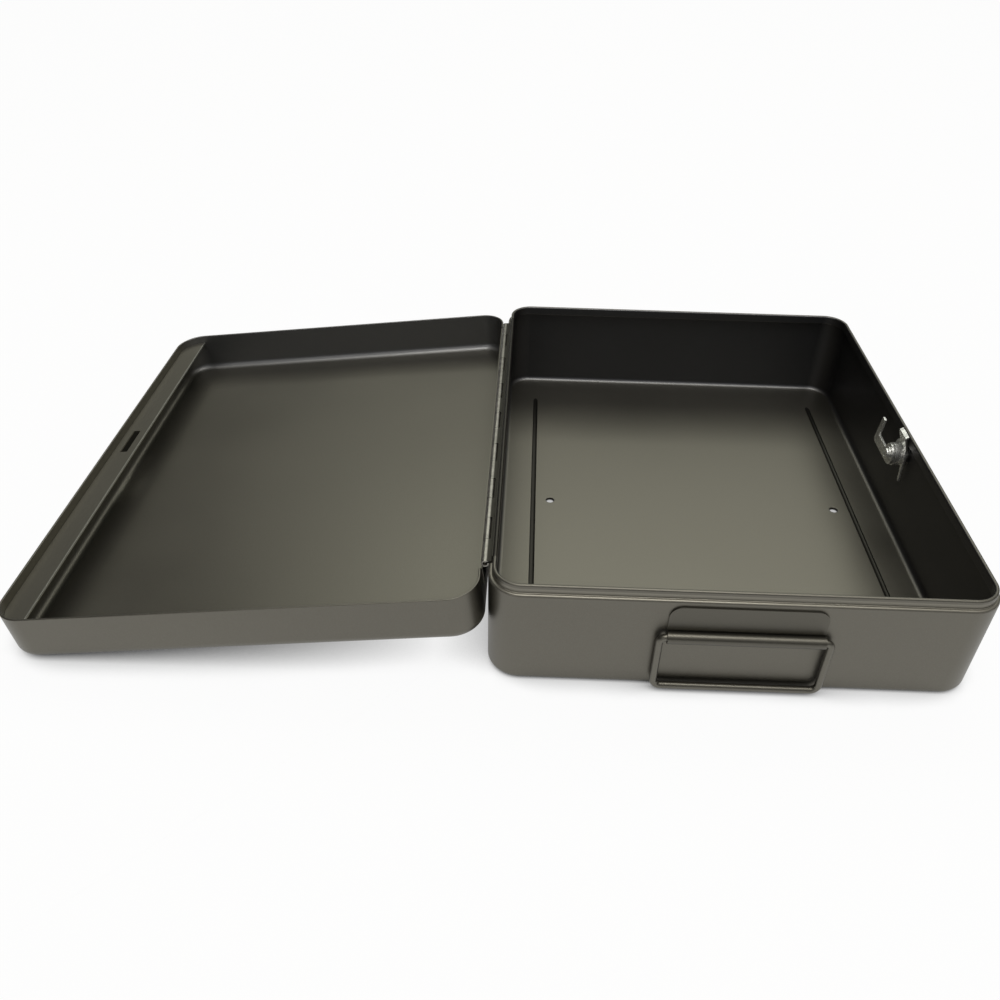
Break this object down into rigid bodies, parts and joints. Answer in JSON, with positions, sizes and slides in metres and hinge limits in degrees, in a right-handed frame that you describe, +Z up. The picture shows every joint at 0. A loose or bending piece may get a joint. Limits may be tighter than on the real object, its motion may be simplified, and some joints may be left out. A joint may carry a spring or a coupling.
{
  "type": "steel document strongbox",
  "caption": "Low rectangular steel document strongbox lying open, its drawn lid folded back on a long side hinge, with a wire bail handle on the front wall and a cam lock in the side wall.",
  "frame": {"origin": "middle of the case's flat underside", "axes": "+Z up, +X from the lid hinge to the lock wall, -Y towards the handle wall"},
  "size_m": [0.504, 0.3245, 0.063],
  "materials": {
    "gunmetal_paint": "satin warm grey stoving paint",
    "hinge_steel": "plated steel, dull",
    "bright_zinc": "bright zinc plate",
    "wafer_brass": "stamped brass",
    "spring_steel": "drawn wire"
  },
  "bodies": {
    "case": {"case_shell": "gunmetal_paint", "hinge_leaf_case": "hinge_steel", "hinge_pin": "hinge_steel", "handle_plate": "gunmetal_paint", "lock_housing": "bright_zinc", "lock_clip": "bright_zinc"},
    "lid": {"lid_shell": "gunmetal_paint", "lid_lock_strip": "gunmetal_paint", "hinge_leaf_lid": "hinge_steel"},
    "handle": {"handle_bail": "gunmetal_paint"},
    "lock_core": {"lock_plug": "bright_zinc", "lock_cam": "bright_zinc", "lock_washer": "bright_zinc", "lock_cam_screw": "bright_zinc", "lock_wafer_1": "wafer_brass", "lock_wafer_2": "wafer_brass", "lock_wafer_3": "wafer_brass", "lock_wafer_4": "wafer_brass", "lock_wafer_5": "wafer_brass", "lock_spring_1": "spring_steel", "lock_spring_2": "spring_steel", "lock_spring_3": "spring_steel", "lock_spring_4": "spring_steel", "lock_spring_5": "spring_steel"}
  },
  "joints": [
    {"name": "lid_hinge", "type": "hinge", "parent": "case", "child": "lid", "pos_m": [-0.12705, 0, 0.057], "axis": [0, 1, 0], "range_deg": [0, 186.46]},
    {"name": "handle_swing", "type": "hinge", "parent": "case", "child": "handle", "pos_m": [0.0021, -0.16225, 0.0373], "axis": [-1, 0, 0], "range_deg": [0, 180]},
    {"name": "lock_turn", "type": "hinge", "parent": "case", "child": "lock_core", "pos_m": [0.12, -0.003, 0.046], "axis": [1, 0, 0], "range_deg": [0, 65]}
  ]
}
